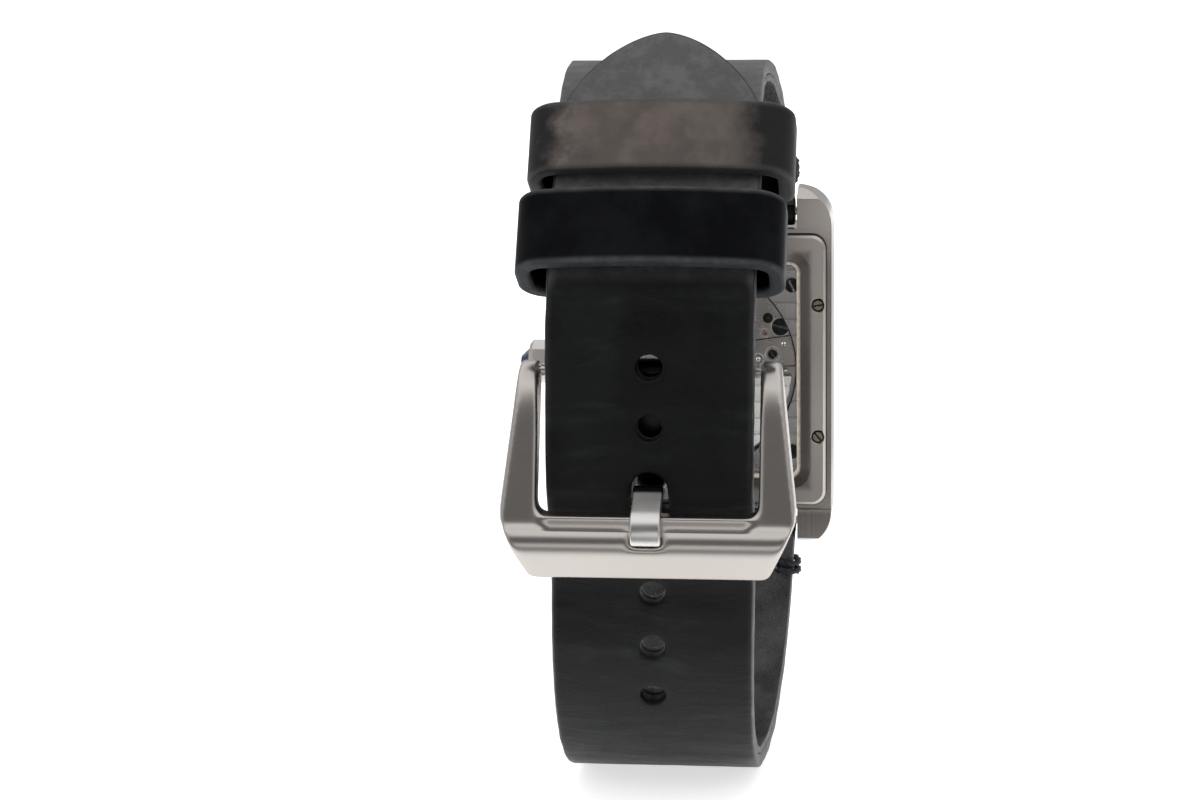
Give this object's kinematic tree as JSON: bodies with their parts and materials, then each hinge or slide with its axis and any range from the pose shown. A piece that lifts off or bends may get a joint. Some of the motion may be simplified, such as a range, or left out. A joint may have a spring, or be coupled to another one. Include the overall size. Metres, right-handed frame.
{
  "type": "rectangular watch",
  "caption": "Rectangular automatic wristwatch with a see-through case back, a stone-set crown and a buckled leather strap.",
  "frame": {"origin": "centre of the case back's outer plane, where the watch rests on the wrist", "axes": "+X away from the crown, +Y out through the dial, +Z towards twelve o'clock"},
  "size_m": [0.0385, 0.0642, 0.0873],
  "materials": {
    "case_steel": "brushed",
    "polished_steel": "polished",
    "buckle_steel": "satin",
    "window_glass": "clear",
    "seal_rubber": "matt",
    "seal_pale": "matt",
    "dial_face": "satin",
    "marker_gold": "polished",
    "hand_blue": "polished",
    "movement_nickel": "striped",
    "dark_screw": "polished",
    "ruby": "polished",
    "gear_brass": "satin",
    "spring_blue": "polished",
    "stone_blue": "faceted",
    "strap_leather": "matt, creased",
    "lining_leather": "fine grain",
    "thread": "waxed",
    "keeper_leather": "satin, worn"
  },
  "bodies": {
    "watch": {"case_middle": "case_steel", "caseback_frame": "case_steel", "caseback_window": "window_glass", "window_gasket": "seal_pale", "caseback_gasket": "seal_rubber", "caseback_screws": "polished_steel", "crystal": "window_glass", "crystal_gasket": "seal_pale", "dial_flange": "polished_steel", "dial": "dial_face", "hour_markers": "marker_gold", "movement_holder": "movement_nickel", "casing_screws": "dark_screw", "main_plate": "movement_nickel", "barrel_bridge": "movement_nickel", "train_bridge": "movement_nickel", "automatic_bridge": "movement_nickel", "balance_cock": "movement_nickel", "pallet_bridge": "movement_nickel", "bridge_screws": "dark_screw", "jewels": "ruby", "barrel_arbor": "polished_steel", "rotor_bearing": "polished_steel", "crown_tube": "polished_steel", "hairspring": "spring_blue", "lug_spring_bars": "polished_steel", "strap_short_leather": "strap_leather", "strap_short_lining": "lining_leather", "strap_long_leather": "strap_leather", "strap_long_lining": "lining_leather", "strap_threads": "thread", "fixed_keeper": "keeper_leather"},
    "minute_train": {"center_wheel": "gear_brass", "cannon_pinion": "polished_steel", "minute_hand": "hand_blue"},
    "hour_train": {"hour_wheel": "gear_brass", "hour_hand": "hand_blue"},
    "minute_wheel": {"minute_wheel": "gear_brass"},
    "barrel": {"barrel": "gear_brass", "mainspring": "spring_blue"},
    "third_wheel": {"third_wheel": "gear_brass"},
    "fourth_wheel": {"fourth_wheel": "gear_brass"},
    "escape_wheel": {"escape_wheel": "gear_brass"},
    "pallet_fork": {"pallet_fork": "polished_steel"},
    "balance": {"balance_wheel": "gear_brass"},
    "rotor": {"rotor": "movement_nickel"},
    "winding": {"winding_pinion": "polished_steel"},
    "crown": {"crown": "polished_steel", "crown_stone": "stone_blue", "crown_stem": "polished_steel", "crown_gasket": "seal_rubber"},
    "free_keeper": {"free_keeper": "keeper_leather"},
    "buckle": {"buckle_frame": "buckle_steel", "buckle_spring_bar": "polished_steel"},
    "tang": {"buckle_tang": "polished_steel"}
  },
  "joints": [
    {"name": "minute_turn", "type": "hinge", "parent": "watch", "child": "minute_train", "pos_m": [0, 0.0045, 0], "axis": [0, -1, 0], "continuous": true},
    {"name": "hour_turn", "type": "hinge", "parent": "watch", "child": "hour_train", "pos_m": [0, 0.0065, 0], "axis": [0, -1, 0], "continuous": true},
    {"name": "minute_wheel_turn", "type": "hinge", "parent": "watch", "child": "minute_wheel", "pos_m": [-0.00226, 0.0063, -0.00082], "axis": [0, -1, 0], "continuous": true},
    {"name": "barrel_turn", "type": "hinge", "parent": "watch", "child": "barrel", "pos_m": [-0.00387, 0.0045, 0.00271], "axis": [0, -1, 0], "continuous": true},
    {"name": "third_turn", "type": "hinge", "parent": "watch", "child": "third_wheel", "pos_m": [0.00359, 0.0045, 0.00131], "axis": [0, -1, 0], "continuous": true},
    {"name": "fourth_turn", "type": "hinge", "parent": "watch", "child": "fourth_wheel", "pos_m": [0.00621, 0.0045, -0.00052], "axis": [0, -1, 0], "continuous": true},
    {"name": "escape_turn", "type": "hinge", "parent": "watch", "child": "escape_wheel", "pos_m": [0.00575, 0.0045, -0.00312], "axis": [0, -1, 0], "continuous": true},
    {"name": "pallet_swing", "type": "hinge", "parent": "watch", "child": "pallet_fork", "pos_m": [0.00437, 0.0045, -0.00532], "axis": [0, -1, 0], "range_deg": [-10, 10]},
    {"name": "balance_swing", "type": "hinge", "parent": "watch", "child": "balance", "pos_m": [0.00283, 0.0045, -0.00778], "axis": [0, -1, 0], "range_deg": [-270, 270], "stiffness_Nm_per_rad": 0.0000007},
    {"name": "rotor_turn", "type": "hinge", "parent": "watch", "child": "rotor", "pos_m": [0, 0.0018, 0], "axis": [0, -1, 0], "continuous": true},
    {"name": "crown_turn", "type": "hinge", "parent": "watch", "child": "winding", "pos_m": [-0.0106, 0.00535, 0], "axis": [-1, 0, 0], "continuous": true},
    {"name": "crown_pull", "type": "slide", "parent": "winding", "child": "crown", "axis": [-1, 0, 0], "range_m": [0, 0.0012]},
    {"name": "keeper_slide", "type": "slide", "parent": "watch", "child": "free_keeper", "axis": [0, -0.5299, -0.848], "range_m": [0, 0.0018]},
    {"name": "buckle_lift", "type": "hinge", "parent": "watch", "child": "buckle", "pos_m": [0, -0.0464, 0.009], "axis": [-1, 0, 0], "range_deg": [0, 3]},
    {"name": "tang_lift", "type": "hinge", "parent": "buckle", "child": "tang", "pos_m": [0, -0.0464, 0.009], "axis": [-1, 0, 0], "range_deg": [0, 3]}
  ],
  "couplings": [
    {"joint": "hour_turn", "follows": "minute_turn", "ratio": 0.083333},
    {"joint": "minute_wheel_turn", "follows": "minute_turn", "ratio": -0.33333},
    {"joint": "barrel_turn", "follows": "minute_turn", "ratio": -0.125},
    {"joint": "third_turn", "follows": "minute_turn", "ratio": -8},
    {"joint": "fourth_turn", "follows": "minute_turn", "ratio": 60},
    {"joint": "escape_turn", "follows": "minute_turn", "ratio": -600}
  ]
}
